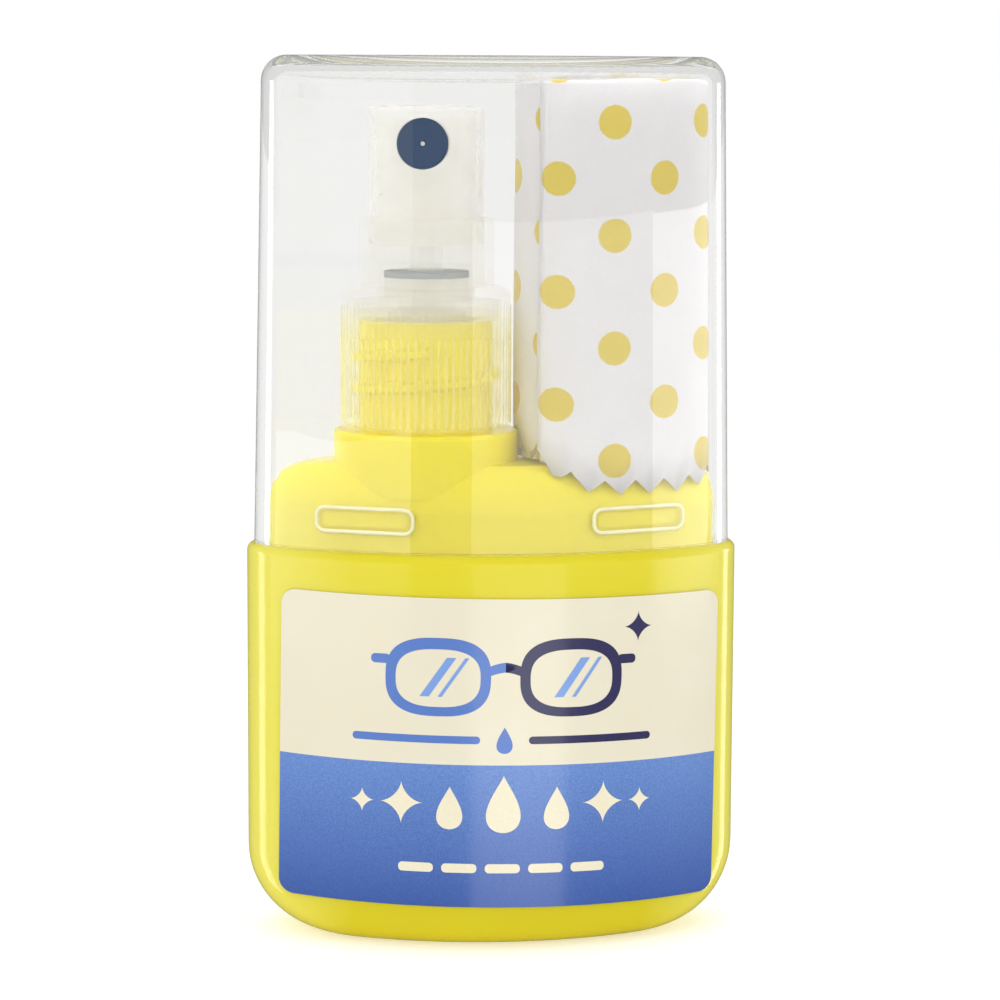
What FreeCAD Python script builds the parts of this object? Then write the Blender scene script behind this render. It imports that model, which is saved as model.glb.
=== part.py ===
"""A pocket lens cleaning spray: an oval bottle, a fine-mist pump, a clear overcap and a rolled cloth.

Frame, in millimetres: the origin is the middle of the bottle's base, +Z is up, +X runs along the bottle's width,
and the nozzle, the front label and the front of the bottle face -Y.
"""

import FreeCAD
import Part
import math
import os

V = FreeCAD.Vector

# ---- Driving dimensions --------------------------------------------------------------------------

# The oval outline: a front and a back arc joined by a round end on each side.
HALF_WIDTH = 24.1
HALF_DEPTH = 12.1
END_RADIUS = 5.8

# Heights of the bottle, from its base up.
END_ROUNDING = 8.5  # radius of the lower corners as seen from the front
FRONT_ROUNDING = 4.4  # radius of the bottom edge as seen from the side
LEDGE_Z = 38.55  # the overcap's rim stands here
SHOULDER_Z = 46.7
PEDESTAL_Z = 49.7
NECK_TOP_Z = 60.4
BOTTLE_WALL = 1.1
FLOOR_Z = 1.6
LEDGE_EDGE = 0.8
SHOULDER_INSET = 2.2
LOFT_STEP_DEG = 15  # the spacing of a rounded stretch's cross-sections
LOWER_WALL_SHARES = (0.3, 0.65, 1.0)  # further sections, between the two bottom roundings

# The shoulder falls away from its top towards its ends, and a little towards the front and the back.
SHOULDER_FALL = 4.3
SHOULDER_END_RUN = 6.1
SHOULDER_FRONT_RUN = 3.0
SHOULDER_END_POWER = 2.4  # 2 is an ellipse's quarter, 1 a straight slope
SHOULDER_FRONT_POWER = 1.6

# The neck and its thread. The pump stands to the left of the bottle's middle.
PUMP_X = -6.5
PEDESTAL_R = 8.95
PEDESTAL_EDGE = 0.4
NECK_ROOT_R = 6.45
NECK_CREST_R = 7.1
NECK_BORE_R = 5.0
THREAD_PITCH = 3.175
THREAD_TURNS = 1.5
THREAD_START_Z = 52.76
THREAD_START_DEG = 90.0
THREAD_BITE = 0.15  # how far a ridge's root is sunk into the wall that carries it
RIDGE_ROOT = 1.35
RIDGE_CREST = 0.6
CLOSURE_THREAD_DROP = 1.1  # the closure's ridge sits just under the neck's

# The overcap.
CAP_TOP_Z = 85.9
CAP_RIM_INSET = 0.7
CAP_WALL = 1.2
CAP_TOP_WALL = 1.4
CAP_DRAFT = 0.018  # how far the wall leans in per millimetre of height
CAP_TOP_EDGE = 2.5
CAP_INNER_EDGE = 1.3
RIM_GAP = 0.05

# The four snap pads that hold the overcap: a shallow pocket in the cap over a low bead on the shoulder.
PAD_CENTRES_X = (-12.8, 13.5)
PAD_LENGTH = 9.0
PAD_HEIGHT = 2.3
PAD_Z = 41.6
PAD_POCKET = 0.35
PAD_CORNER_SHARE = 0.35  # of a pad's height
BEAD_HEIGHT = 0.18
BEAD_ROOT = 0.3
BEAD_MARGIN = 0.45

# The labels.
LABEL_HALF_WIDTH = 21.35
LABEL_BOTTOM_Z = 4.45
LABEL_TOP_Z = 34.5
LABEL_CORNER = 1.4
LABEL_THICKNESS = 0.12
GLUE_LINE = 0.02
FRONT_LABEL_SHIFT = 0.35
FRONT_LABEL_TILT_DEG = 0.7

# The closure.
CLOSURE_R = 8.28
CLOSURE_BOTTOM_Z = 50.05
CLOSURE_TOP_Z = 63.6
CLOSURE_BORE_R = 7.25
CLOSURE_CREST_R = 6.6
CLOSURE_HOLE_R = 4.75
RIB_COUNT = 72
RIB_DEPTH = 0.2
RIB_BOTTOM_Z = 50.4
RIB_TOP_Z = 61.8
RIB_CREST_SHARE = 0.22  # the share of a step, each side of a crest, that the crest takes
PLAIN_BAND_DEPTH = 0.12  # how far the plain bands stay back from the ribs
CLOSURE_EDGE = 1.1
CHIMNEY_R = 6.56
CHIMNEY_BORE_R = 5.6
CHIMNEY_TOP_Z = 70.3
CHIMNEY_EDGE = 0.2

# The pump, from the top down.
ACTUATOR_R = 5.55
ACTUATOR_TOP_Z = 81.1
ACTUATOR_BOTTOM_Z = 67.8
ACTUATOR_SKIRT_R = 4.7
ACTUATOR_HUB_R = 2.7
ACTUATOR_HUB_BOTTOM_Z = 69.9
ACTUATOR_ROOF = 1.3
ACTUATOR_EDGE = 0.6
FINGER_DISH_R = 26.0
FINGER_DISH_DEPTH = 0.45
NOZZLE_TURN_DEG = 8.0  # the button turns freely, and rests turned a little to the left
NOZZLE_Z = 77.5
NOZZLE_R = 2.46
NOZZLE_FACE_Y = -4.75
NOZZLE_LENGTH = 1.9
NOZZLE_BOSS_R = 3.25
NOZZLE_EDGE = 0.12
SWIRL_R = 1.3
ORIFICE_WEB = 0.7
ORIFICE_R = 0.16
ORIFICE_FLARE_R = 0.38
ORIFICE_FLARE_DEPTH = 0.3
STEM_R = 1.6
STEM_BORE_R = 0.75
STEM_TOP_Z = 73.1
STEM_PORT_R = 0.35
STEM_PORT_RISE = 1.3  # above the piston's lower end
GASKET_THICKNESS = 0.8
FLANGE_R = 7.0
FLANGE_TOP_Z = 62.2
HOUSING_NECK_R = 4.1
HOUSING_NECK_TOP_Z = 64.5
STEM_GASKET_THICKNESS = 0.6
HOUSING_CAP_R = 4.55
HOUSING_CAP_TOP_Z = 65.75
HOUSING_CAP_CHAMFER = 0.3
HOUSING_CAP_HOLE_GAP = 0.15
CHAMBER_R = 3.7
CHAMBER_BORE_R = 2.9
CHAMBER_FLOOR_Z = 49.1
CHAMBER_CONE = 0.4
CAGE_OUTER_R = 2.7
VENT_R = 0.4
VENT_Z = 59.9
RETAINER_THICKNESS = 0.6
RETAINER_HOLE_R = 0.8
BALL_R = 1.2
BALL_CAGE_R = 1.5
SEAT_TOP_Z = 46.7
SEAT_BOTTOM_Z = 46.0
TAIL_R = 2.1
TAIL_CHAMFER = (0.2, 0.4)
TAIL_BOTTOM_Z = 40.1
TUBE_R = 1.3
TUBE_BORE_R = 0.8
TUBE_TOP_Z = 45.0
TUBE_BOTTOM_Z = 2.4
TUBE_SLANT_DEG = 40
SEAT_HEAD_R = 2.2
SEAT_PLUG_LENGTH = 0.6
SEAT_SPIGOT_LENGTH = 0.9
SEAT_GUIDE_LENGTH = 1.2
PISTON_WALL = 0.5
PISTON_LIP = 0.12
PISTON_LIP_RISE = 0.4
PISTON_WAIST_RISE = 0.8
PISTON_BOTTOM_Z = 57.3
PISTON_TOP_Z = 61.1
SPRING_TOP_Z = 56.3
SPRING_R = 2.0
SPRING_WIRE_R = 0.2
SPRING_TURNS = 5
SPRING_STRIPS = 5

# Working clearances.
RUNNING_GAP = 0.05
SEAT_GAP = 0.02

# The fluid and the cloth.
FLUID_TOP_Z = 35.4
FLUID_GAP = 0.03
CLOTH_BOTTOM_Z = 43.9
CLOTH_REST = 0.15
CLOTH_TOP_Z = 84.15
CLOTH_LEFT_X = 2.0
CLOTH_CLEARANCE = 0.3

# ---- Values that follow from them ----------------------------------------------------------------

END_CENTRE_X = HALF_WIDTH - END_RADIUS
FRONT_RADIUS = (END_CENTRE_X**2 + HALF_DEPTH**2 - END_RADIUS**2) / (2 * (HALF_DEPTH - END_RADIUS))
ARC_CENTRE_Y = FRONT_RADIUS - HALF_DEPTH  # the front arc's centre stands this far behind the middle
RETAINER_TOP_Z = CHAMBER_FLOOR_Z + RETAINER_THICKNESS
SEAT_SLOPE = (BALL_CAGE_R - STEM_BORE_R) / (SEAT_TOP_Z - SEAT_BOTTOM_Z)


# ---- Shared shapes -------------------------------------------------------------------------------


def oval(half_width, half_depth, z):
    """The closed outline: front arc, right end, back arc, left end. All front arcs share one centre line."""
    big = half_depth + ARC_CENTRE_Y
    end = (big**2 - half_width**2 - ARC_CENTRE_Y**2) / (2 * (big - half_width))
    turn = math.atan2(half_width - end, ARC_CENTRE_Y)
    join_x = big * math.sin(turn)
    join_y = big * math.cos(turn) - ARC_CENTRE_Y
    corners = [V(-join_x, -join_y, z), V(join_x, -join_y, z), V(join_x, join_y, z), V(-join_x, join_y, z)]
    middles = [V(0, -half_depth, z), V(half_width, 0, z), V(0, half_depth, z), V(-half_width, 0, z)]
    arcs = [
        Part.Arc(corners[i], middles[i], corners[(i + 1) % 4]).toShape()
        for i in range(4)
    ]
    return Part.Wire(arcs)


def inset_oval(inset, z):
    return oval(HALF_WIDTH - inset, HALF_DEPTH - inset, z)


def oval_prism(inset, bottom, top):
    return Part.Face(inset_oval(inset, bottom)).extrude(V(0, 0, top - bottom))


def fallen_short(radius, height):
    """How far a rounding of this radius stays back from the wall at a height above the floor."""
    if height >= radius:
        return 0.0
    return radius - math.sqrt(radius**2 - (radius - height) ** 2)


def rounded_vessel(inset, floor, top):
    """A solid with the bottle's outline and rounded base, drawn in by inset."""
    end_round = END_ROUNDING - inset
    front_round = FRONT_ROUNDING - inset
    steps = [front_round * (1 - math.cos(math.radians(a))) for a in range(0, 91, LOFT_STEP_DEG)]
    steps += [front_round + (end_round - front_round) * share for share in LOWER_WALL_SHARES]
    sections = [
        oval(
            HALF_WIDTH - inset - fallen_short(end_round, height),
            HALF_DEPTH - inset - fallen_short(front_round, height),
            floor + height,
        )
        for height in steps
    ]
    foot = Part.makeLoft(sections, True, False)
    wall = oval_prism(inset, floor + end_round, top)
    return foot.fuse(wall)


def run_share(rise, power):
    """How far in a falling edge has come, as a share of its run, at a rise from 0 (foot) to 1 (top)."""
    return 1 - (1 - rise**power) ** (1 / power)


def shoulder_block(inset, bottom, top):
    """A solid with the outline of the bottle's shoulder and its falling top, drawn in by inset."""
    sections = []
    for degrees in range(0, 91, LOFT_STEP_DEG):
        rise = math.sin(math.radians(degrees))
        half_width = HALF_WIDTH - inset - run_share(rise, SHOULDER_END_POWER) * SHOULDER_END_RUN
        half_depth = HALF_DEPTH - inset - run_share(rise, SHOULDER_FRONT_POWER) * SHOULDER_FRONT_RUN
        sections.append(oval(half_width, half_depth, top - SHOULDER_FALL * (1 - rise)))
    crown = Part.makeLoft(sections, True, False)
    return crown.fuse(oval_prism(inset, bottom, top - SHOULDER_FALL))


def cylinder(radius, bottom, top):
    return Part.makeCylinder(radius, top - bottom, V(PUMP_X, 0, bottom))


def ring(outer, inner, bottom, top):
    return cylinder(outer, bottom, top).cut(cylinder(inner, bottom - 1, top + 1))


def turned(profile):
    """A solid turned about the pump's axis from (radius, height) points."""
    points = [V(PUMP_X + r, 0, z) for r, z in profile]
    face = Part.Face(Part.makePolygon(points + points[:1]))
    return face.revolve(V(PUMP_X, 0, 0), V(0, 0, 1), 360)


def edges_at(shape, z, tolerance=1e-3):
    return [
        e for e in shape.Edges
        if abs(e.BoundBox.ZMin - z) < tolerance and abs(e.BoundBox.ZMax - z) < tolerance
    ]


def front_window(length, height, corner, centre_x, centre_z, depth):
    """A rounded block on the middle plane, reaching towards -Y. It trims what lies on a curved front."""
    block = Part.makeBox(length, depth, height, V(centre_x - length / 2, -depth, centre_z - height / 2))
    upright = [e for e in block.Edges if abs(e.BoundBox.YLength - depth) < 1e-6]
    return block.makeFillet(corner, upright)


def to_back(shape):
    """The same shape turned half way round the vertical axis, so that it sits on the back."""
    return shape.rotated(V(0, 0, 0), V(0, 0, 1), 180)


def helical_ridge(inner_r, outer_r, inner_width, outer_width, start_z, turns):
    """A right-hand thread ridge about the pump's axis, trapezoid in section."""
    middle = (inner_r + outer_r) / 2
    helix = Part.makeHelix(THREAD_PITCH, THREAD_PITCH * turns, middle)
    section = Part.makePolygon([
        V(inner_r, 0, -inner_width / 2),
        V(outer_r, 0, -outer_width / 2),
        V(outer_r, 0, outer_width / 2),
        V(inner_r, 0, inner_width / 2),
        V(inner_r, 0, -inner_width / 2),
    ])
    ridge = Part.Wire(helix.Edges).makePipeShell([section], True, True)
    ridge.rotate(V(0, 0, 0), V(0, 0, 1), THREAD_START_DEG)
    ridge.translate(V(PUMP_X, 0, start_z))
    return ridge


# ---- Bottle, labels and fluid --------------------------------------------------------------------


def bottle_outside():
    body = rounded_vessel(0, 0, LEDGE_Z)
    body = body.makeFillet(LEDGE_EDGE, edges_at(body, LEDGE_Z))
    shoulder = shoulder_block(SHOULDER_INSET, LEDGE_Z - 1, SHOULDER_Z)
    pedestal = cylinder(PEDESTAL_R, SHOULDER_Z - SHOULDER_FRONT_RUN, PEDESTAL_Z)
    pedestal = pedestal.makeFillet(PEDESTAL_EDGE, edges_at(pedestal, PEDESTAL_Z))
    neck = cylinder(NECK_ROOT_R, PEDESTAL_Z - 1, NECK_TOP_Z)
    outside = body.fuse([shoulder, pedestal, neck])
    return outside.removeSplitter()


def bottle_cavity():
    lower = rounded_vessel(BOTTLE_WALL, FLOOR_Z, LEDGE_Z - BOTTLE_WALL)
    inset = SHOULDER_INSET + BOTTLE_WALL
    shoulder = shoulder_block(inset, LEDGE_Z - 2 * BOTTLE_WALL, SHOULDER_Z - BOTTLE_WALL)
    pedestal = cylinder(NECK_ROOT_R, SHOULDER_Z - 2 * BOTTLE_WALL, PEDESTAL_Z - BOTTLE_WALL)
    bore = cylinder(NECK_BORE_R, PEDESTAL_Z - 2 * BOTTLE_WALL, NECK_TOP_Z + 1)
    return lower.fuse([shoulder, pedestal, bore])


def snap_pads(outer_inset, inner_inset, trim):
    """Four raised pads between two parallel ovals, in front and behind. trim makes each one smaller."""
    skin = oval_prism(outer_inset, PAD_Z - PAD_HEIGHT, PAD_Z + PAD_HEIGHT).cut(
        oval_prism(inner_inset, PAD_Z - PAD_HEIGHT - 1, PAD_Z + PAD_HEIGHT + 1)
    )
    length = PAD_LENGTH - 2 * trim
    height = PAD_HEIGHT - 2 * trim
    corner = height * PAD_CORNER_SHARE
    pads = []
    for x in PAD_CENTRES_X:
        window = front_window(length, height, corner, x, PAD_Z, 2 * HALF_DEPTH)
        mirrored = front_window(length, height, corner, -x, PAD_Z, 2 * HALF_DEPTH)
        pads += [skin.common(window), skin.common(to_back(mirrored))]
    return pads


def make_bottle():
    solid = bottle_outside().cut(bottle_cavity())
    thread = helical_ridge(
        NECK_ROOT_R - THREAD_BITE, NECK_CREST_R, RIDGE_ROOT, RIDGE_CREST, THREAD_START_Z, THREAD_TURNS
    )
    beads = snap_pads(SHOULDER_INSET - BEAD_HEIGHT, SHOULDER_INSET + BEAD_ROOT, BEAD_MARGIN)
    return solid.fuse(beads).fuse(thread)


def label(tilt_deg):
    """A curved sheet on the front, with rounded corners."""
    skin = oval_prism(-GLUE_LINE - LABEL_THICKNESS, LABEL_BOTTOM_Z - 2, LABEL_TOP_Z + 2).cut(
        oval_prism(-GLUE_LINE, LABEL_BOTTOM_Z - 3, LABEL_TOP_Z + 3)
    )
    middle_z = (LABEL_BOTTOM_Z + LABEL_TOP_Z) / 2
    window = front_window(
        2 * LABEL_HALF_WIDTH, LABEL_TOP_Z - LABEL_BOTTOM_Z, LABEL_CORNER, 0, middle_z, 2 * HALF_DEPTH
    )
    window.rotate(V(0, 0, middle_z), V(0, 1, 0), tilt_deg)
    return skin, window


def make_front_label():
    skin, window = label(FRONT_LABEL_TILT_DEG)
    window.translate(V(FRONT_LABEL_SHIFT, 0, 0))
    return skin.common(window)


def make_back_label():
    skin, window = label(0)
    return skin.common(to_back(window))


def make_cleaning_fluid():
    """The fluid up to its level, with room for the dip tube that stands in it."""
    pool = rounded_vessel(BOTTLE_WALL + FLUID_GAP, FLOOR_Z + FLUID_GAP, FLUID_TOP_Z)
    return pool.cut(cylinder(TUBE_R + RUNNING_GAP, FLOOR_Z, FLUID_TOP_Z + 1))


# ---- Overcap and cloth ---------------------------------------------------------------------------


def leaning_prism(inset, bottom, top, edge):
    """An oval prism that leans in with height, from LEDGE_Z up, with its top edge rounded."""
    lean_bottom = inset + CAP_DRAFT * (bottom - LEDGE_Z)
    lean_top = inset + CAP_DRAFT * (top - LEDGE_Z)
    prism = Part.makeLoft([inset_oval(lean_bottom, bottom), inset_oval(lean_top, top)], True, True)
    return prism.makeFillet(edge, edges_at(prism, top))


def make_overcap():
    rim = LEDGE_Z + RIM_GAP
    outside = leaning_prism(CAP_RIM_INSET, rim, CAP_TOP_Z, CAP_TOP_EDGE)
    inside = leaning_prism(CAP_RIM_INSET + CAP_WALL, rim - 1, CAP_TOP_Z - CAP_TOP_WALL, CAP_INNER_EDGE)
    pockets = snap_pads(CAP_RIM_INSET + CAP_WALL - PAD_POCKET, SHOULDER_INSET + BEAD_ROOT, 0)
    return outside.cut(inside).cut(pockets)


def cloth_outline(z):
    """The rolled cloth from above: round beside the pump, and drawn out to fit the cap's right end."""
    inset = CAP_RIM_INSET + CAP_WALL + CAP_DRAFT * (z - LEDGE_Z) + CLOTH_CLEARANCE
    big = FRONT_RADIUS - inset
    reach = big + CLOTH_LEFT_X
    left_centre = (reach**2 - ARC_CENTRE_Y**2) / (2 * reach)
    left_r = left_centre - CLOTH_LEFT_X
    right_r = END_RADIUS - inset
    left_turn = math.atan2(left_centre, ARC_CENTRE_Y)
    right_turn = math.atan2(END_CENTRE_X, ARC_CENTRE_Y)
    middle_turn = (left_turn + right_turn) / 2

    right_end = V(END_CENTRE_X + right_r, 0, z)

    def on_front(turn, side):
        return V(big * math.sin(turn), -side * (big * math.cos(turn) - ARC_CENTRE_Y), z)

    return Part.Wire([
        Part.Arc(on_front(left_turn, 1), on_front(middle_turn, 1), on_front(right_turn, 1)).toShape(),
        Part.Arc(on_front(right_turn, 1), right_end, on_front(right_turn, -1)).toShape(),
        Part.Arc(on_front(right_turn, -1), on_front(middle_turn, -1), on_front(left_turn, -1)).toShape(),
        Part.Arc(on_front(left_turn, -1), V(left_centre - left_r, 0, z), on_front(left_turn, 1)).toShape(),
    ])


def make_microfibre_cloth():
    """The roll stands on the shoulder beside the pedestal. Its edge hangs a little over the front."""
    roll = Part.makeLoft([cloth_outline(CLOTH_BOTTOM_Z), cloth_outline(CLOTH_TOP_Z)], True, True)
    roll = roll.makeFillet(CAP_INNER_EDGE, edges_at(roll, CLOTH_TOP_Z))
    seat = shoulder_block(SHOULDER_INSET - CLOTH_REST, LEDGE_Z, SHOULDER_Z + CLOTH_REST)
    pedestal = cylinder(PEDESTAL_R + CLOTH_REST, SHOULDER_Z, PEDESTAL_Z + CLOTH_REST)
    return roll.cut(seat).cut(pedestal)


# ---- Closure -------------------------------------------------------------------------------------


def ribbed_band():
    """The closure's gripping band: shallow round grooves all the way round."""
    step = 2 * math.pi / RIB_COUNT

    def at(radius, angle):
        return V(PUMP_X + radius * math.cos(angle), radius * math.sin(angle), RIB_BOTTOM_Z)

    arcs = []
    for i in range(RIB_COUNT):
        angle = i * step
        left, right = angle - RIB_CREST_SHARE * step, angle + RIB_CREST_SHARE * step
        following = angle + step - RIB_CREST_SHARE * step
        arcs.append(Part.Arc(at(CLOSURE_R, left), at(CLOSURE_R, angle), at(CLOSURE_R, right)).toShape())
        groove = at(CLOSURE_R - RIB_DEPTH, angle + step / 2)
        arcs.append(Part.Arc(at(CLOSURE_R, right), groove, at(CLOSURE_R, following)).toShape())
    return Part.Face(Part.Wire(arcs)).extrude(V(0, 0, RIB_TOP_Z - RIB_BOTTOM_Z))


def make_screw_closure():
    skirt = cylinder(CLOSURE_R - PLAIN_BAND_DEPTH, CLOSURE_BOTTOM_Z, CLOSURE_TOP_Z)
    skirt = skirt.makeFillet(CLOSURE_EDGE, edges_at(skirt, CLOSURE_TOP_Z))
    chimney = cylinder(CHIMNEY_R, FLANGE_TOP_Z + RUNNING_GAP, CHIMNEY_TOP_Z)
    chimney = chimney.makeFillet(CHIMNEY_EDGE, edges_at(chimney, CHIMNEY_TOP_Z))
    outside = ribbed_band().fuse([skirt, chimney])
    ceiling = FLANGE_TOP_Z + RUNNING_GAP
    hollow = cylinder(CLOSURE_BORE_R, CLOSURE_BOTTOM_Z - 1, ceiling)
    hole = cylinder(CLOSURE_HOLE_R, ceiling - 1, CHIMNEY_TOP_Z + 1)
    well = cylinder(CHIMNEY_BORE_R, CLOSURE_TOP_Z, CHIMNEY_TOP_Z + 1)
    thread = helical_ridge(
        CLOSURE_CREST_R, CLOSURE_BORE_R + THREAD_BITE, RIDGE_CREST, RIDGE_ROOT,
        THREAD_START_Z - CLOSURE_THREAD_DROP, THREAD_TURNS,
    )
    return outside.cut(hollow.fuse([hole, well])).fuse(thread)


# ---- Pump ----------------------------------------------------------------------------------------


def make_pump_housing():
    flange_bottom = NECK_TOP_Z + GASKET_THICKNESS
    profile = [
        (CHAMBER_BORE_R, HOUSING_NECK_TOP_Z),
        (CHAMBER_BORE_R, CHAMBER_FLOOR_Z),
        (BALL_CAGE_R, CHAMBER_FLOOR_Z),
        (BALL_CAGE_R, SEAT_TOP_Z),
        (STEM_BORE_R, SEAT_BOTTOM_Z),
        (STEM_BORE_R, TUBE_TOP_Z),
        (TUBE_R, TUBE_TOP_Z),
        (TUBE_R, TAIL_BOTTOM_Z),
        (TAIL_R - TAIL_CHAMFER[0], TAIL_BOTTOM_Z),
        (TAIL_R, TAIL_BOTTOM_Z + TAIL_CHAMFER[1]),
        (TAIL_R, SEAT_BOTTOM_Z - CHAMBER_CONE),
        (CAGE_OUTER_R, SEAT_BOTTOM_Z + CHAMBER_CONE),
        (CAGE_OUTER_R, CHAMBER_FLOOR_Z - 2 * CHAMBER_CONE),
        (CHAMBER_R, CHAMBER_FLOOR_Z + CHAMBER_CONE),
        (CHAMBER_R, flange_bottom),
        (FLANGE_R, flange_bottom),
        (FLANGE_R, FLANGE_TOP_Z),
        (HOUSING_NECK_R, FLANGE_TOP_Z),
        (HOUSING_NECK_R, HOUSING_NECK_TOP_Z),
    ]
    vent = Part.makeCylinder(VENT_R, CHAMBER_R + 1, V(PUMP_X, 0, VENT_Z), V(0, 1, 0))
    return turned(profile).cut(vent)


def make_neck_gasket():
    return ring(FLANGE_R, CHAMBER_R + RUNNING_GAP, NECK_TOP_Z, NECK_TOP_Z + GASKET_THICKNESS)


def make_stem_gasket():
    bottom = HOUSING_NECK_TOP_Z
    return ring(HOUSING_NECK_R, STEM_R + RUNNING_GAP, bottom, bottom + STEM_GASKET_THICKNESS)


def make_housing_cap():
    lid_z = HOUSING_NECK_TOP_Z + STEM_GASKET_THICKNESS
    bore = HOUSING_NECK_R + SEAT_GAP
    profile = [
        (bore, FLANGE_TOP_Z + RUNNING_GAP),
        (HOUSING_CAP_R, FLANGE_TOP_Z + RUNNING_GAP),
        (HOUSING_CAP_R, HOUSING_CAP_TOP_Z - HOUSING_CAP_CHAMFER),
        (HOUSING_CAP_R - HOUSING_CAP_CHAMFER, HOUSING_CAP_TOP_Z),
        (STEM_R + HOUSING_CAP_HOLE_GAP, HOUSING_CAP_TOP_Z),
        (STEM_R + HOUSING_CAP_HOLE_GAP, lid_z),
        (bore, lid_z),
    ]
    return turned(profile)


def make_ball_retainer():
    """A cup washer on the chamber's floor: the spring stands on it, and it keeps the ball in its cage."""
    return ring(CHAMBER_BORE_R - SEAT_GAP, RETAINER_HOLE_R, CHAMBER_FLOOR_Z, RETAINER_TOP_Z)


def make_dip_tube():
    """A straight tube, cut at a slant at its lower end so that it can't seal against the floor."""
    tube = ring(TUBE_R - SEAT_GAP, TUBE_BORE_R, TUBE_BOTTOM_Z, TUBE_TOP_Z)
    side = 8 * TUBE_R
    knife = Part.makeBox(side, side, side, V(-side / 2, -side / 2, -side))
    knife.rotate(V(0, 0, 0), V(0, 1, 0), -TUBE_SLANT_DEG)
    knife.translate(V(PUMP_X, 0, TUBE_BOTTOM_Z + TUBE_R * math.tan(math.radians(TUBE_SLANT_DEG))))
    return tube.cut(knife)


def make_inlet_ball():
    """The check valve's ball, resting in its cone."""
    slant = math.hypot(1, SEAT_SLOPE)
    centre_z = SEAT_BOTTOM_Z + (BALL_R * slant - STEM_BORE_R) / SEAT_SLOPE + SEAT_GAP
    return Part.makeSphere(BALL_R, V(PUMP_X, 0, centre_z))


def make_stem():
    """The hollow stem, with a cross hole where the fluid enters above the piston seat."""
    tube = ring(STEM_R, STEM_BORE_R, PISTON_BOTTOM_Z + SEAT_PLUG_LENGTH, STEM_TOP_Z)
    port_start = V(PUMP_X - 2 * STEM_R, 0, PISTON_BOTTOM_Z + STEM_PORT_RISE)
    port = Part.makeCylinder(STEM_PORT_R, 4 * STEM_R, port_start, V(1, 0, 0))
    return tube.cut(port)


def make_piston_seat():
    """The stem's lower plug: a flange that carries the piston, and a guide for the spring."""
    guide_r = SPRING_R - SPRING_WIRE_R - 2 * RUNNING_GAP
    tip_z = SPRING_TOP_Z - SEAT_GUIDE_LENGTH
    profile = [
        (0, tip_z),
        (guide_r - SPRING_WIRE_R, tip_z),
        (guide_r, tip_z + 2 * SPRING_WIRE_R),
        (guide_r, SPRING_TOP_Z),
        (SEAT_HEAD_R, SPRING_TOP_Z),
        (SEAT_HEAD_R, PISTON_BOTTOM_Z),
        (STEM_R, PISTON_BOTTOM_Z),
        (STEM_R, PISTON_BOTTOM_Z + SEAT_PLUG_LENGTH),
        (STEM_BORE_R - SEAT_GAP, PISTON_BOTTOM_Z + SEAT_PLUG_LENGTH),
        (STEM_BORE_R - SEAT_GAP, PISTON_BOTTOM_Z + SEAT_SPIGOT_LENGTH),
        (0, PISTON_BOTTOM_Z + SEAT_SPIGOT_LENGTH),
    ]
    return turned(profile)


def make_piston():
    """A sleeve with a wiping lip at each end."""
    lip_r = CHAMBER_BORE_R - SEAT_GAP
    waist_r = lip_r - PISTON_WALL
    throat_r = waist_r - PISTON_LIP
    bore = STEM_R + SEAT_GAP
    profile = [
        (bore, PISTON_BOTTOM_Z),
        (throat_r, PISTON_BOTTOM_Z),
        (lip_r - PISTON_LIP, PISTON_BOTTOM_Z - PISTON_LIP_RISE),
        (lip_r, PISTON_BOTTOM_Z - PISTON_LIP_RISE + PISTON_LIP),
        (lip_r, PISTON_BOTTOM_Z),
        (waist_r, PISTON_BOTTOM_Z + PISTON_WAIST_RISE),
        (waist_r, PISTON_TOP_Z - PISTON_WAIST_RISE),
        (lip_r, PISTON_TOP_Z),
        (lip_r, PISTON_TOP_Z + PISTON_LIP_RISE - PISTON_LIP),
        (lip_r - PISTON_LIP, PISTON_TOP_Z + PISTON_LIP_RISE),
        (throat_r, PISTON_TOP_Z),
        (bore, PISTON_TOP_Z),
    ]
    return turned(profile)


def make_return_spring():
    """A helix of round wire, whose surface is split into strips that run along it."""
    bottom = RETAINER_TOP_Z + SPRING_WIRE_R + SEAT_GAP
    height = SPRING_TOP_Z - SPRING_WIRE_R - SEAT_GAP - bottom
    helix = Part.makeHelix(height / SPRING_TURNS, height, SPRING_R)
    turn = 360 / SPRING_STRIPS
    arcs = [
        Part.makeCircle(SPRING_WIRE_R, V(SPRING_R, 0, 0), V(0, 1, 0), i * turn, (i + 1) * turn)
        for i in range(SPRING_STRIPS)
    ]
    wire = Part.Wire(helix.Edges).makePipeShell([Part.Wire(arcs)], True, True)
    return wire.translated(V(PUMP_X, 0, bottom))


def forward_cylinder(radius, start_y, end_y):
    """A cylinder along -Y at the nozzle's height, from start_y to end_y."""
    return Part.makeCylinder(radius, start_y - end_y, V(PUMP_X, start_y, NOZZLE_Z), V(0, -1, 0))


def turned_left(shape):
    """The shape as it rests, turned with the button about the pump's axis."""
    return shape.rotated(V(PUMP_X, 0, 0), V(0, 0, 1), -NOZZLE_TURN_DEG)


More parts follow.
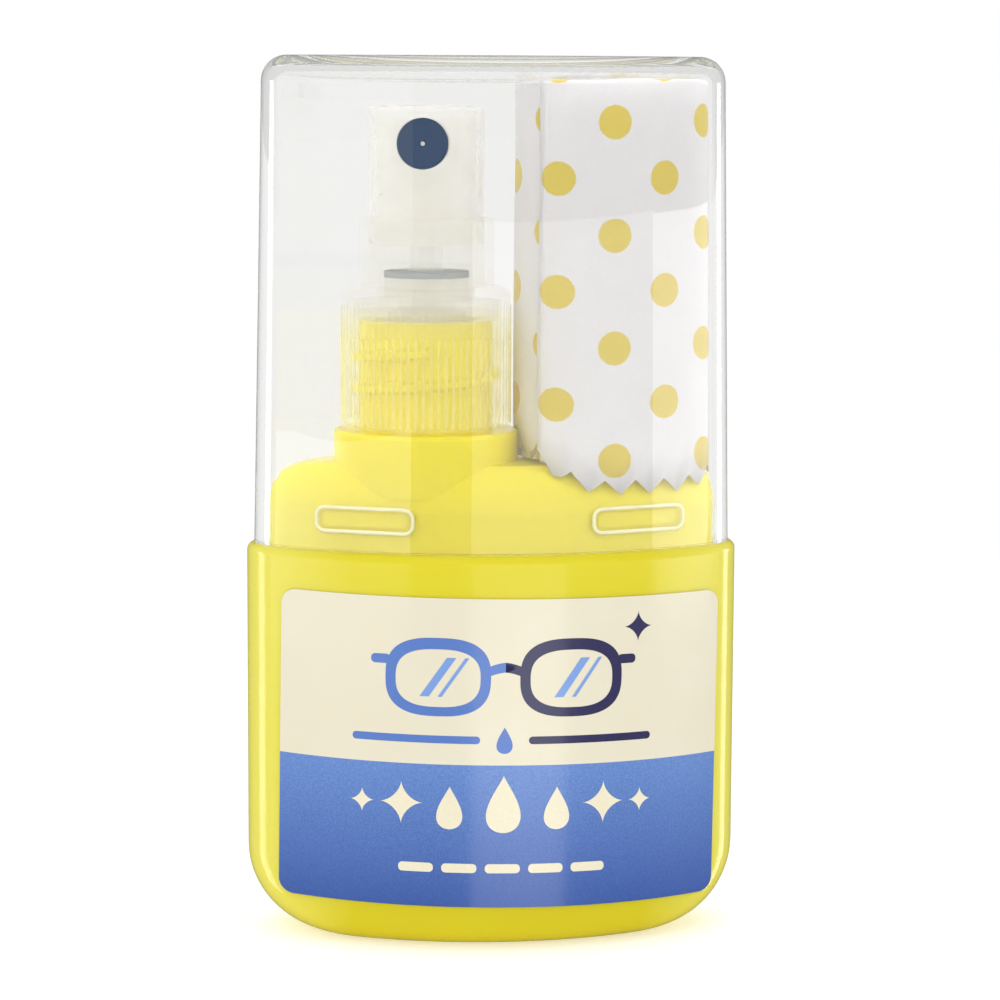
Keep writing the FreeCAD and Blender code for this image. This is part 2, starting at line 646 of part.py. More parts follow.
def make_actuator():
    """The button: a skirted shell, a hub that takes the stem, and a boss that takes the nozzle."""
    body = cylinder(ACTUATOR_R, ACTUATOR_BOTTOM_Z, ACTUATOR_TOP_Z)
    body = body.makeFillet(ACTUATOR_EDGE, edges_at(body, ACTUATOR_TOP_Z))
    dish = Part.makeSphere(FINGER_DISH_R, V(PUMP_X, 0, ACTUATOR_TOP_Z + FINGER_DISH_R - FINGER_DISH_DEPTH))
    core = ring(ACTUATOR_SKIRT_R, ACTUATOR_HUB_R, ACTUATOR_HUB_BOTTOM_Z, ACTUATOR_TOP_Z - ACTUATOR_ROOF)
    mouth = cylinder(ACTUATOR_SKIRT_R, ACTUATOR_BOTTOM_Z - 1, ACTUATOR_HUB_BOTTOM_Z)
    boss = forward_cylinder(NOZZLE_BOSS_R, 0, -ACTUATOR_R)
    socket = cylinder(STEM_R + RUNNING_GAP, ACTUATOR_HUB_BOTTOM_Z - 1, STEM_TOP_Z + RUNNING_GAP)
    riser = cylinder(STEM_BORE_R, STEM_TOP_Z, NOZZLE_Z)
    pocket = forward_cylinder(NOZZLE_R + SEAT_GAP, NOZZLE_FACE_Y + NOZZLE_LENGTH, -2 * ACTUATOR_R)
    duct = forward_cylinder(STEM_BORE_R, 0, -ACTUATOR_R)
    shell = body.cut(dish).cut(core.fuse(mouth).cut(boss))
    return turned_left(shell.cut(socket.fuse([riser, pocket, duct])))


def make_nozzle_insert():
    """A cup pressed into the actuator: a swirl chamber behind a fine orifice that opens in a cone."""
    back = NOZZLE_FACE_Y + NOZZLE_LENGTH
    body = forward_cylinder(NOZZLE_R, back, NOZZLE_FACE_Y)
    face_edges = [e for e in body.Edges if abs(e.BoundBox.YMax - NOZZLE_FACE_Y) < 1e-3]
    body = body.makeFillet(NOZZLE_EDGE, face_edges)
    swirl = forward_cylinder(SWIRL_R, back + 1, NOZZLE_FACE_Y + ORIFICE_WEB)
    orifice = forward_cylinder(ORIFICE_R, back, 2 * NOZZLE_FACE_Y)
    flare_start = V(PUMP_X, NOZZLE_FACE_Y + ORIFICE_FLARE_DEPTH, NOZZLE_Z)
    flare = Part.makeCone(ORIFICE_R, ORIFICE_FLARE_R, ORIFICE_FLARE_DEPTH, flare_start, V(0, -1, 0))
    return turned_left(body.cut(swirl.fuse([orifice, flare])))


# ---- Export --------------------------------------------------------------------------------------

MAKERS = {
    "bottle": make_bottle,
    "front_label": make_front_label,
    "back_label": make_back_label,
    "cleaning_fluid": make_cleaning_fluid,
    "overcap": make_overcap,
    "microfibre_cloth": make_microfibre_cloth,
    "screw_closure": make_screw_closure,
    "pump_housing": make_pump_housing,
    "neck_gasket": make_neck_gasket,
    "stem_gasket": make_stem_gasket,
    "housing_cap": make_housing_cap,
    "ball_retainer": make_ball_retainer,
    "dip_tube": make_dip_tube,
    "inlet_ball": make_inlet_ball,
    "stem": make_stem,
    "piston_seat": make_piston_seat,
    "piston": make_piston,
    "return_spring": make_return_spring,
    "actuator": make_actuator,
    "nozzle_insert": make_nozzle_insert,
}


def main():
    os.makedirs("parts", exist_ok=True)
    for name, maker in MAKERS.items():
        shape = maker()
        state = "ok" if shape.isValid() and len(shape.Solids) == 1 else "CHECK"
        box = shape.BoundBox
        print(
            f"{name:18s} {state} solids {len(shape.Solids)} volume {shape.Volume:10.3f} mm3 "
            f"z {box.ZMin:.2f} to {box.ZMax:.2f}"
        )
        shape.exportStep(f"parts/{name}.step")
    room = bottle_cavity().Volume / 1000
    print(f"room inside the bottle, to the top of the neck: {room:.1f} ml")


main()
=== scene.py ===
"""The lens cleaning spray: materials, print, rolled cloth, camera and lights round the CAD frame.

All lengths are metres in the CAD's own frame: +Z is up and the front label and nozzle face -Y.
"""

import math

import bmesh
import bpy
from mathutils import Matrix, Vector, noise
from mathutils.bvhtree import BVHTree


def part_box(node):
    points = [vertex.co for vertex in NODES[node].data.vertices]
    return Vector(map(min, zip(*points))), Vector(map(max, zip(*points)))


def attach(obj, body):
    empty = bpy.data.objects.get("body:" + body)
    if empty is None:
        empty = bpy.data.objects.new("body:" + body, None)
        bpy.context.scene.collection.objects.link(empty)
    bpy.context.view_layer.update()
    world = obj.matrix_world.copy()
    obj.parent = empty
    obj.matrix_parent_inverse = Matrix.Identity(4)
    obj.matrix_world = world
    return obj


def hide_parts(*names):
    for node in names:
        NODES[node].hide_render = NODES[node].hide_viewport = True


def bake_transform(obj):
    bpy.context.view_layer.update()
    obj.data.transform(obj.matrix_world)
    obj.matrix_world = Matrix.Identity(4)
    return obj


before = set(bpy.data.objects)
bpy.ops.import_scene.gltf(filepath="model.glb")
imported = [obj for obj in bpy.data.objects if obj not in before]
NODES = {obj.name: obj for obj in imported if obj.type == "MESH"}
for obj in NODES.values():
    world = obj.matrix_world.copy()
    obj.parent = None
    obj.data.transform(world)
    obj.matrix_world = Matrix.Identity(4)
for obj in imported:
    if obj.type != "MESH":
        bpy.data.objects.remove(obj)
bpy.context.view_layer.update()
MM = 0.001

# ---- Named values --------------------------------------------------------------------------------

# The camera stands a little to the left of the front and looks slightly down.
CAMERA_DISTANCE = 327 * MM
CAMERA_HEIGHT = 84.1 * MM
CAMERA_AZIMUTH = math.radians(-4.5)
CAMERA_PITCH = math.radians(7.25)
CAMERA_ROLL = math.radians(-0.3)
CAMERA_ASIDE = 0.55 * MM
CAMERA_LENS = 120.4

# The labels. The front one was put on a little askew.
LABEL_THICKNESS = 0.12 * MM
LABEL_SHIFT = 0.35 * MM
LABEL_TILT = math.radians(0.7)
BAND_SHARE = 0.464  # the blue band's share of the label's height
PRINT_LIFT = 0.012 * MM

# The closure's ribs are this deep; up to this height the neck shows through it, and its colour is
# painted yellow as the neck's glow.
CLOSURE_RIB_DEPTH = 0.2 * MM
NECK_GLOW_TOP = 61.8 * MM

# Painted highlight: the bottle's colour turns paler towards the oval's ends. Painted glow: it turns
# brighter up its neck.
EDGE_HIGHLIGHT_START, EDGE_HIGHLIGHT_END = 14 * MM, 23 * MM
NECK_HEIGHTS = (42 * MM, 50 * MM)

# Painted glow: the shoulder emits a little yellow light, standing in for light that the clear cap lets
# into the wall.
GLOW_HEIGHTS = (38 * MM, 40 * MM)
SHOULDER_GLOW = 0.06

# The snap pads moulded into the overcap's wall, two in front and two behind.
PAD_CENTRES = (-12.8 * MM, 13.5 * MM)
PAD_LENGTH = 9.0 * MM
PAD_HEIGHT = 2.3 * MM
PAD_MIDDLE_Z = 41.6 * MM
# The pads' bright edges are painted highlights.
PAD_DEPTH = 1.66 * MM  # how far inside the labels' arc the pads' bright edges lie
PAD_EDGE_R = 0.20 * MM

# The cloth, cut from a flat sheet, folded in four across and rolled up.
CLOTH_ACROSS = 155 * MM
CLOTH_ALONG = 146 * MM
CLOTH_THICKNESS = 0.2 * MM
LAYERS = 4
LAYER_STEP = 0.28 * MM
PINKING_PITCH = 3.1 * MM
PINKING_DEPTH = 1.4 * MM
PINKING_SHARE = 0.2  # the share of the height over which the teeth's pull dies away
COLUMNS_PER_TOOTH = 4
ROLL_STEP = 1.28 * MM  # how much further in each turn lies than the one outside it
ROLL_TAPER = 0.4  # how much narrower the roll is at its right end
ROLL_START_DEG = 222  # the outer end, in front on the left
ROLL_LEAN = 0.65 * MM  # the room under the cap narrows by this much towards its top
RIGHT_GAP = 0.4 * MM
HEM_FLARE = 1.2 * MM  # how far the outermost layer's hem spreads in front
FLARE_SHARE = 0.14  # the share of the height that spreads
CAP_WALL_DEPTH = 2.3 * MM  # the room under the cap ends this far inside the labels' arc
REST_GAP = 0.3 * MM
RIPPLE = 0.2 * MM
TOP_GAP = 0.4 * MM  # how far the cloth's top stays under the roof of its room
TOP_WAVE = 0.35 * MM  # and how much that varies
DOT_SPACING = 10.8 * MM
DOT_RADIUS = 1.64 * MM
DOT_START = (1.8 * MM, 7.4 * MM)

# Colours, in linear light.
YELLOW = (0.80, 0.70, 0.035)
PAINTED_SHADE_YELLOW = (0.66, 0.55, 0.006)
EDGE_HIGHLIGHT_YELLOW = (0.88, 0.80, 0.14)
NECK_GLOW_YELLOW = (0.88, 0.77, 0.010)
CREAM = (0.84, 0.77, 0.57)
BLUE = (0.107, 0.23, 0.61)
PALE_BLUE = (0.185, 0.335, 0.71)
BAND_SHADE_BLUE = (0.008, 0.055, 0.34)
MARK_BLUE = (0.085, 0.19, 0.55)
MARK_NAVY = (0.014, 0.012, 0.085)
PLASTIC_WHITE = (0.94, 0.92, 0.84)
PAINTED_NECK_GLOW = (0.99, 0.92, 0.16)
NOZZLE_NAVY = (0.001, 0.028, 0.095)
CLOTH_WHITE = (0.785, 0.765, 0.78)
DOT_YELLOW = (0.70, 0.54, 0.05)

# Light, as a share of the white that the camera sees behind the object.
SURROUND_LIGHT = 0.68
LIGHT_UNDER_CAP = 3.05
ROOM_IN_REFLECTIONS = 0.10
ROOM_UNDER_CAP = 0.8

# What shows in reflections: (name, first azimuth, last azimuth, bottom, top, radiance).
PANELS = (
    ("cap_panel", -5.5, 58, -0.012, 0.067, 1.3),
    ("cap_right_panel", 58, 80, -0.03, 0.067, 3.0),
    ("cap_left_panel", -80, -26, -0.04, 0.02, 1.7),
    ("cap_upper_left_panel", -80, -26, 0.02, 0.10, 0.4),
    ("label_panel", -5, 26, -0.13, -0.02, 2.4),
    ("left_strip", -106, -90, -0.2, 0.11, 5.0),
    ("right_strip", 98, 114, -0.2, 0.11, 5.0),
)

# The overcap's haze: how quickly it hides what is behind it, per metre, and how bright its painted glow
# is.
HAZE = 20.0
HAZE_GLOW_SHARE = 0.72


# ---- Shader helpers ------------------------------------------------------------------------------


class Material:
    """A material's node tree, with short ways to add nodes and to join them."""

    def __init__(self, name, **surface):
        self.data = bpy.data.materials.new(name)
        self.data.use_nodes = True
        self.tree = self.data.node_tree
        self.shader = self.tree.nodes["Principled BSDF"]
        self.place = self.node("ShaderNodeTexCoord").outputs["Object"]
        self.surface(**surface)

    def put(self, socket, value):
        """Joins value to socket if it is a node's output, and sets it otherwise."""
        if isinstance(value, bpy.types.NodeSocket):
            self.tree.links.new(value, socket)
        elif socket.type == "RGBA" and len(value) == 3:
            socket.default_value = (*value, 1)
        else:
            socket.default_value = value

    def surface(self, **values):
        for name, value in values.items():
            label = name.replace("_", " ").title().replace("Ior", "IOR")
            self.put(self.shader.inputs[label], value)

    def node(self, kind, **inputs):
        node = self.tree.nodes.new(kind)
        for name, value in inputs.items():
            self.put(node.inputs[name], value)
        return node

    def math(self, operation, *values):
        node = self.tree.nodes.new("ShaderNodeMath")
        node.operation = operation
        for socket, value in zip(node.inputs, values):
            self.put(socket, value)
        return node.outputs[0]

    def vector(self, operation, *values):
        node = self.tree.nodes.new("ShaderNodeVectorMath")
        node.operation = operation
        for socket, value in zip(node.inputs, values):
            self.put(socket, value)
        return node.outputs["Value" if operation in ("LENGTH", "DISTANCE") else "Vector"]

    def part(self, vector, axis):
        return self.node("ShaderNodeSeparateXYZ", Vector=vector).outputs[axis]

    def noise(self, size, detail=2.0, place=None, stretch=None):
        """Noise from 0 to 1 whose features are about size across."""
        place = place or self.place
        if stretch:
            place = self.vector("MULTIPLY", place, stretch)
        texture = self.node("ShaderNodeTexNoise", Vector=place, Scale=1 / size, Detail=detail)
        return texture.outputs["Fac"]

    def span(self, value, low, high, start=0.0, end=1.0):
        """value from start to end becomes low to high."""
        node = self.node("ShaderNodeMapRange", Value=value)
        limits = (("From Min", start), ("From Max", end), ("To Min", low), ("To Max", high))
        for name, number in limits:
            node.inputs[name].default_value = number
        return node.outputs["Result"]

    def blend(self, share, low, high):
        """The colour low where share is 0 and high where it is 1."""
        node = self.tree.nodes.new("ShaderNodeMix")
        node.data_type = "RGBA"
        self.put(node.inputs[0], share)
        self.put(node.inputs[6], low)
        self.put(node.inputs[7], high)
        return node.outputs[2]

    def bump(self, height, distance, strength=1.0):
        node = self.node("ShaderNodeBump", Height=height, Distance=distance, Strength=strength)
        self.surface(normal=node.outputs["Normal"])


# ---- Materials -----------------------------------------------------------------------------------


def bottle_plastic():
    """Translucent yellow plastic, faint orange peel; painted shade low down, painted highlight at the
    ends, painted glow up the neck.
    """
    m = Material("bottle_plastic", subsurface_weight=0.35, subsurface_scale=1.6 * MM, coat_weight=0.08)
    m.surface(subsurface_radius=(1.0, 0.85, 0.18), coat_roughness=0.05, specular_ior_level=0.35)
    cloud = m.noise(14 * MM)
    # Painted shade: the yellow deepens towards the bottom.
    height = m.span(m.part(m.place, "Z"), 0.65, 0.0, 0.0, 30 * MM)
    share = m.math("ADD", height, m.span(cloud, -0.12, 0.12))
    body = m.blend(share, YELLOW, PAINTED_SHADE_YELLOW)
    sideways = m.math("ABSOLUTE", m.part(m.place, "X"))
    # Painted highlight: paler yellow towards the oval's ends.
    body = m.blend(m.span(sideways, 0.0, 1.0, EDGE_HIGHLIGHT_START, EDGE_HIGHLIGHT_END), body, EDGE_HIGHLIGHT_YELLOW)
    up = m.part(m.place, "Z")
    # Painted glow: brighter yellow up the neck.
    m.surface(base_color=m.blend(m.span(up, 0.0, 1.0, *NECK_HEIGHTS), body, NECK_GLOW_YELLOW))
    # Painted glow: yellow emission above the ledge.
    m.surface(emission_color=m.blend(m.span(up, 0.0, 1.0, *GLOW_HEIGHTS), (0.0, 0.0, 0.0), YELLOW))
    m.surface(emission_strength=SHOULDER_GLOW)
    m.surface(roughness=m.span(m.noise(3 * MM, 3.0), 0.13, 0.22))
    m.bump(m.noise(1.1 * MM, 1.0), 0.012 * MM)
    return m.data


def clear_plastic():
    """Clear moulded styrene: faint flow lines, and a haze, a painted glow, that shows where one looks
    along the wall.
    """
    m = Material("clear_plastic", transmission_weight=1.0, ior=1.53, base_color=(0.955, 0.955, 0.95))
    flow = m.noise(9 * MM, 1.0, stretch=(1, 1, 0.25))
    m.surface(roughness=m.span(m.noise(2 * MM, 2.0), 0.0, 0.03))
    m.bump(flow, 0.012 * MM)
    tint = m.node("ShaderNodeVolumeAbsorption", Color=(0.03, 0.03, 0.0), Density=HAZE)
    # Painted glow: the haze emits light of its own inside the plastic.
    glow = m.node("ShaderNodeEmission", Color=(1.0, 1.0, 0.965), Strength=HAZE * HAZE_GLOW_SHARE)
    haze = m.tree.nodes.new("ShaderNodeAddShader")
    m.put(haze.inputs[0], tint.outputs[0])
    m.put(haze.inputs[1], glow.outputs[0])
    m.put(m.tree.nodes["Material Output"].inputs["Volume"], haze.outputs[0])
    return m.data


def pad_highlight_plastic():
    """Painted highlight: a pale finish for the tubes round the snap pads, for the light their bevelled
    edges catch.
    """
    m = Material("pad_highlight_plastic", specular_ior_level=0.8)
    m.surface(base_color=m.blend(m.noise(1.5 * MM), (0.94, 0.90, 0.50), (0.98, 0.95, 0.64)))
    m.surface(roughness=m.span(m.noise(0.5 * MM), 0.3, 0.45))
    m.bump(m.noise(0.4 * MM), 0.01 * MM)
    return m.data


def natural_plastic(name, veil):
    """Uncoloured milky polypropylene that can be seen through. veil is how much one face hides."""
    m = Material(name, ior=1.49)
    cloud = m.noise(3 * MM, 3.0)
    m.surface(base_color=m.blend(cloud, PLASTIC_WHITE, (0.97, 0.96, 0.91)))
    m.surface(alpha=m.span(cloud, veil * 0.85, veil * 1.15))
    m.surface(roughness=m.span(m.noise(1.5 * MM, 3.0), 0.16, 0.28))
    m.bump(m.noise(0.6 * MM, 1.0), 0.006 * MM)
    return m.data


def pump_axis():
    low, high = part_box("dip_tube")
    return Vector(((low.x + high.x) / 2, (low.y + high.y) / 2, 0))


def closure_plastic():
    """Natural see-through plastic, painted yellow low down as the neck's glow, with painted highlights
    on its ribs' crests.
    """
    m = Material("closure_plastic", ior=1.49)
    low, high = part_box("screw_closure")
    cloud = m.noise(3 * MM, 3.0)
    from_axis = m.vector("MULTIPLY", m.vector("SUBTRACT", m.place, tuple(pump_axis())), (1, 1, 0))
    radius = m.vector("LENGTH", from_axis)
    crest_r = (high.x - low.x) / 2
    crest = m.span(radius, 0.0, 0.75, crest_r - CLOSURE_RIB_DEPTH, crest_r)
    height = m.math("ADD", m.part(m.place, "Z"), m.span(cloud, -0.4 * MM, 0.4 * MM))
    over_neck = m.span(height, 1.0, 0.0, NECK_GLOW_TOP - 3.5 * MM, NECK_GLOW_TOP)
    # Painted glow: yellow low down, for the neck's light scattered in the plastic.
    body = m.blend(over_neck, PLASTIC_WHITE, PAINTED_NECK_GLOW)
    in_ribs = m.math("MULTIPLY", crest, over_neck)
    # Painted highlight: the rib crests are paler.
    m.surface(base_color=m.blend(in_ribs, body, (1.0, 0.98, 0.66)))
    crest_veil = m.math("MULTIPLY", in_ribs, 0.17)
    m.surface(alpha=m.math("ADD", m.span(over_neck, 0.16, 0.20), crest_veil))
    m.surface(roughness=m.span(m.noise(1.5 * MM, 3.0), 0.16, 0.28))
    m.bump(m.noise(0.6 * MM, 1.0), 0.006 * MM)
    return m.data


def nozzle_plastic():
    """Navy plastic with faint turning marks round the orifice, and the orifice painted bright as a
    highlight.
    """
    m = Material("nozzle_plastic", specular_ior_level=0.08)
    low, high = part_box("nozzle_insert")
    middle = (low + high) / 2
    axis = pump_axis()
    forward = Vector((middle.x - axis.x, middle.y - axis.y, 0)).normalized()
    from_middle = m.vector("SUBTRACT", m.place, tuple(middle))
    radius = m.vector("LENGTH", m.vector("CROSS_PRODUCT", from_middle, tuple(forward)))
    rings = m.math("SINE", m.math("MULTIPLY", radius, 2 * math.pi / (0.16 * MM)))
    shade = m.blend(m.noise(1.2 * MM), NOZZLE_NAVY, (0.003, 0.040, 0.120))
    # Painted highlight: a near-white spot at the orifice.
    m.surface(base_color=m.blend(m.math("LESS_THAN", radius, 0.2 * MM), shade, (0.95, 0.97, 0.98)))
    m.surface(roughness=m.span(m.noise(0.5 * MM), 0.25, 0.38))
    m.bump(rings, 0.0015 * MM)
    return m.data


def rubber(name, colour, other):
    m = Material(name)
    m.surface(base_color=m.blend(m.noise(1.0 * MM), colour, other))
    m.surface(roughness=m.span(m.noise(0.4 * MM), 0.45, 0.65))
    m.bump(m.noise(0.25 * MM, 3.0), 0.01 * MM)
    return m.data


def steel():
    m = Material("steel", metallic=1.0)
    m.surface(base_color=m.blend(m.noise(0.8 * MM), (0.60, 0.60, 0.61), (0.72, 0.72, 0.73)))
    m.surface(roughness=m.span(m.noise(0.3 * MM, 3.0), 0.16, 0.32))
    m.bump(m.noise(0.15 * MM), 0.002 * MM)
    return m.data


def fluid():
    m = Material("fluid", transmission_weight=1.0, ior=1.34)
    m.surface(base_color=m.blend(m.noise(20 * MM), (0.99, 0.97, 0.80), (1.0, 0.98, 0.84)))
    m.surface(roughness=m.span(m.noise(6 * MM), 0.0, 0.02))
    return m.data


def printed_label(name, tilt, middle_z, height):
    """Glossy printed film: cream above, and a blue band with a fine grain below, darkened by painted
    shade towards the bottom.
    """
    m = Material(name, coat_weight=0.45, coat_roughness=0.12)
    x, z = m.part(m.place, "X"), m.part(m.place, "Z")
    up = m.math("ADD", m.math("MULTIPLY", x, math.tan(tilt)), z)
    band_top = middle_z + height * (BAND_SHARE - 0.5)
    in_band = m.span(up, 1.0, 0.0, band_top - 0.02 * MM, band_top + 0.02 * MM)
    grain = m.noise(0.16 * MM, 3.0)
    paper = m.blend(m.noise(5 * MM, 3.0), CREAM, (0.87, 0.82, 0.66))
    band = m.blend(m.span(grain, 0.0, 1.0, 0.35, 0.75), BLUE, PALE_BLUE)
    # Painted shade: the band darkens towards the label's bottom.
    band = m.blend(m.span(z, 0.75, 0.0, middle_z - height / 2, band_top), band, BAND_SHADE_BLUE)
    m.surface(base_color=m.blend(in_band, paper, band))
    m.surface(roughness=m.span(grain, 0.26, 0.40))
    m.bump(grain, 0.004 * MM)
    return m.data


def ink(name, colour):
    m = Material(name, coat_weight=0.4, coat_roughness=0.12)
    grain = m.noise(0.16 * MM, 3.0)
    lighter = tuple(min(1.0, 1.18 * c + 0.015) for c in colour)
    m.surface(base_color=m.blend(grain, colour, lighter), roughness=m.span(grain, 0.26, 0.40))
    m.bump(grain, 0.003 * MM)
    return m.data


def cloth_fabric():
    """Fine white microfibre with a staggered print of yellow dots, laid out on the flat sheet."""
    m = Material("cloth_fabric", sheen_weight=0.35, sheen_roughness=0.5, sheen_tint=(0.95, 0.95, 1.0))
    flat = m.node("ShaderNodeUVMap")
    flat.uv_map = "flat"
    metres = m.vector("MULTIPLY", flat.outputs["UV"], (CLOTH_ALONG, CLOTH_ACROSS, 0))
    cells = m.vector("MULTIPLY", m.vector("SUBTRACT", metres, (*DOT_START, 0)), (1 / DOT_SPACING,) * 3)

    def away(offset):
        """How far a point is from the nearest dot of one of the two square grids."""
        inside = m.vector("FRACTION", m.vector("ADD", cells, (100.5 + offset, 100.5 + offset, 0)))
        reach = m.vector("MULTIPLY", m.vector("SUBTRACT", inside, (0.5, 0.5, 0)), (1, 1, 0))
        return m.math("MULTIPLY", m.vector("LENGTH", reach), DOT_SPACING)

    distance = m.math("MINIMUM", away(0.0), away(0.5))
    ragged = m.span(m.noise(0.3 * MM, 2.0, place=metres), -0.09 * MM, 0.09 * MM)
    blur = 0.06 * MM
    dot = m.span(m.math("ADD", distance, ragged), 1.0, 0.0, DOT_RADIUS - blur, DOT_RADIUS + blur)
    speckle = m.noise(0.22 * MM, 3.0, place=metres)
    white = m.blend(m.noise(6 * MM, 2.0, place=metres), CLOTH_WHITE, (0.735, 0.72, 0.73))
    print_yellow = m.blend(m.span(speckle, 0.0, 0.5, 0.35, 0.7), DOT_YELLOW, (0.66, 0.55, 0.17))
    m.surface(base_color=m.blend(dot, white, print_yellow), roughness=m.span(speckle, 0.82, 0.95))
    courses = m.math("SINE", m.math("MULTIPLY", m.part(metres, "Y"), 2 * math.pi / (0.34 * MM)))
    wales = m.math("SINE", m.math("MULTIPLY", m.part(metres, "X"), 2 * math.pi / (0.28 * MM)))
    knit = m.math("ADD", m.math("MULTIPLY", courses, wales), m.math("MULTIPLY", speckle, 1.5))
    m.bump(knit, 0.02 * MM, 0.6)
    return m.data


def dress_nodes():
    """Every CAD node that stays gets its finished material."""
    label_low, label_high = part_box("back_label")
    height = label_high.z - label_low.z
    middle_z = (label_low.z + label_high.z) / 2
    inner = natural_plastic("inner_plastic", 0.11)
    metal = steel()
    finishes = {
        "bottle": bottle_plastic(),
        "overcap": clear_plastic(),
        "cleaning_fluid": fluid(),
        "front_label": printed_label("front_label_print", LABEL_TILT, middle_z, height),
        "back_label": printed_label("back_label_print", 0.0, middle_z, height),
        "nozzle_insert": nozzle_plastic(),
        "screw_closure": closure_plastic(),
        "actuator": natural_plastic("natural_plastic", 0.30),
        "neck_gasket": natural_plastic("soft_washer", 0.25),
        "stem_gasket": rubber("navy_rubber", (0.03, 0.10, 0.20), (0.05, 0.13, 0.24)),
        "inlet_ball": metal,
        "return_spring": metal,
    }
    for name, node in NODES.items():
        for place in node.material_slots:
            place.material = finishes.get(name, inner)


# ---- Label print ---------------------------------------------------------------------------------


def label_arc():
    """The radius of the labels' outer face, and how far behind the middle its centre stands."""
    low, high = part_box("back_label")
    sagitta = high.y - LABEL_THICKNESS - low.y
    radius = (high.x**2 + sagitta**2) / (2 * sagitta) + LABEL_THICKNESS
    return radius, radius - high.y


def oblong(x, z, width, height, corner, steps=6):
    """A rectangle with rounded corners, as points."""
    points = []
    for quarter, (sx, sz) in enumerate(((1, 1), (-1, 1), (-1, -1), (1, -1))):
        for step in range(steps + 1):
            angle = math.radians(90 * (quarter + step / steps))
            points.append((
                x + sx * (width / 2 - corner) + corner * math.cos(angle),
                z + sz * (height / 2 - corner) + corner * math.sin(angle),
            ))
    return points


def rounded_loop(x, z, width, height, power, steps=64):
    """A superellipse, as points."""
    points = []
    for step in range(steps):
        angle = 2 * math.pi * step / steps
        c, s = math.cos(angle), math.sin(angle)
        points.append((
            x + width / 2 * math.copysign(abs(c) ** (2 / power), c),
            z + height / 2 * math.copysign(abs(s) ** (2 / power), s),
        ))
    return points


def sparkle(x, z, size):
    return rounded_loop(x, z, size, size, 2 / 3.2)


def droplet(x, z, height, steps=48):
    points = []
    for step in range(steps):
        angle = 2 * math.pi * step / steps
        points.append((
            x + 0.42 * height * math.sin(angle) * math.sin(angle / 2) ** 1.4,
            z + height / 2 * math.cos(angle),
        ))
    return points


def spectacle_lens(x, z):
    """One rim of the spectacles, as its outer and inner outlines."""
    width, height, rim = 10.2 * MM, 7.6 * MM, 1.0 * MM
    outer = rounded_loop(x, z, width, height, 2.7)
    inner = rounded_loop(x, z - 0.1 * MM, width - 2 * rim, height - 2 * rim, 2.7)
    return [outer, inner]


def glint(x, z):
    """Two slanting strokes inside a lens."""
    strokes = []
    for shift, width in ((0.0, 0.9 * MM), (1.5 * MM, 0.4 * MM)):
        lean, half = 1.3 * MM, 1.9 * MM
        left = x + shift - width / 2
        strokes.append([
            (left - lean, z - half), (left + width - lean, z - half),
            (left + width + lean, z + half), (left + lean, z + half),
        ])
    return strokes


def bridge(left, right, z):
    """Half of the arch between the rims, from left to right."""
    steps = 10
    top, bottom = [], []
    for step in range(steps + 1):
        x = left + (right - left) * step / steps
        arch = z + 1.5 * MM - 0.55 * (abs(x) / MM) ** 1.6 * 0.35 * MM
        top.append((x, arch))
        bottom.append((x, arch - 0.95 * MM))
    return top + bottom[::-1]


def print_on(node, name, outlines, material, tilt=0.0, shift=0.0, back=False):
    """Printed shapes on a label.

    Outlines are (across, up) points from the label's middle, and one inside another is a hole.
    """
    curve = bpy.data.curves.new(name + "_outline", "CURVE")
    curve.dimensions = "2D"
    curve.fill_mode = "BOTH"
    for points in outlines:
        spline = curve.splines.new("POLY")
        spline.points.add(len(points) - 1)
        spline.use_cyclic_u = True
        for point, (x, z) in zip(spline.points, points):
            point.co = (x / MM, z / MM, 0, 1)
    flat = bpy.data.objects.new(name + "_flat", curve)
    mesh = bpy.data.meshes.new_from_object(flat)
    bpy.data.objects.remove(flat)
    mesh.name = name

    shape = bmesh.new()
    shape.from_mesh(mesh)
    bmesh.ops.remove_doubles(shape, verts=shape.verts, dist=1e-4)
    widest = int(max(abs(v.co.x) for v in shape.verts)) + 1
    for cut in range(-widest, widest + 1):
        parts = list(shape.verts) + list(shape.edges) + list(shape.faces)
        bmesh.ops.bisect_plane(shape, geom=parts, plane_co=(cut, 0, 0), plane_no=(1, 0, 0))
    radius, behind = label_arc()
    low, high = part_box("back_label")
    middle_z = (low.z + high.z) / 2
    for vertex in shape.verts:
        across, up = vertex.co.x * MM, vertex.co.y * MM
        x = shift + across * math.cos(tilt) + up * math.sin(tilt)
        z = up * math.cos(tilt) - across * math.sin(tilt)
        turn = x / radius
        lifted = radius + PRINT_LIFT
        place = Vector((lifted * math.sin(turn), behind - lifted * math.cos(turn), middle_z + z))
        vertex.co = Vector((-place.x, -place.y, place.z)) if back else place
    bmesh.ops.recalc_face_normals(shape, faces=shape.faces)
    outward = 1 if back else -1
    if sum(f.normal.y for f in shape.faces) * outward < 0:
        bmesh.ops.reverse_faces(shape, faces=shape.faces)
    shape.to_mesh(mesh)
    shape.free()
    mesh.materials.clear()
    mesh.materials.append(material)
    mesh.shade_smooth()
    piece = bpy.data.objects.new(name, mesh)
    bpy.context.scene.collection.objects.link(piece)
    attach(piece, "bottle")
    return piece


